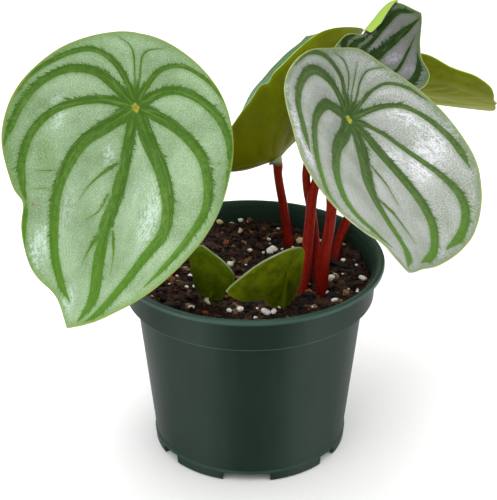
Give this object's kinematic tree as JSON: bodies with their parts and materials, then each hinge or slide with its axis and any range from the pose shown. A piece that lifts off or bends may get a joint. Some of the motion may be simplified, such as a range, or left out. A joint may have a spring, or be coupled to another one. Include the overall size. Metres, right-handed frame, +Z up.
{
  "type": "potted plant",
  "caption": "Potted peperomia with silver-striped, shield-shaped leaves on red petioles and small young leaves, in a tapered dark green plastic nursery pot filled with soil.",
  "frame": {"origin": "on the surface the pot stands on, under the middle of the whole plant's box; the pot's axis is 7.2 mm to -X and 2.2 mm to -Y of it", "axes": "+Z up along the pot's axis, -Y towards the side seen in the picture, +X to its right"},
  "size_m": [0.1989, 0.1881, 0.1797],
  "materials": {
    "pot": "satin",
    "soil": "rough",
    "blade": "satin",
    "young_blade": "satin",
    "petiole": "satin",
    "young_petiole": "satin"
  },
  "bodies": {
    "root": {"pot": "pot", "soil": "soil", "petiole_left": "petiole", "blade_left": "blade", "petiole_right": "petiole", "blade_right": "blade", "petiole_back_left": "petiole", "blade_back_left": "blade", "petiole_top": "petiole", "blade_top": "blade", "petiole_back_right": "petiole", "blade_back_right": "blade", "petiole_young_left": "young_petiole", "blade_young_left": "young_blade", "petiole_young_centre": "young_petiole", "blade_young_centre": "young_blade", "petiole_young_hidden": "petiole", "blade_young_hidden": "young_blade"}
  },
  "joints": []
}
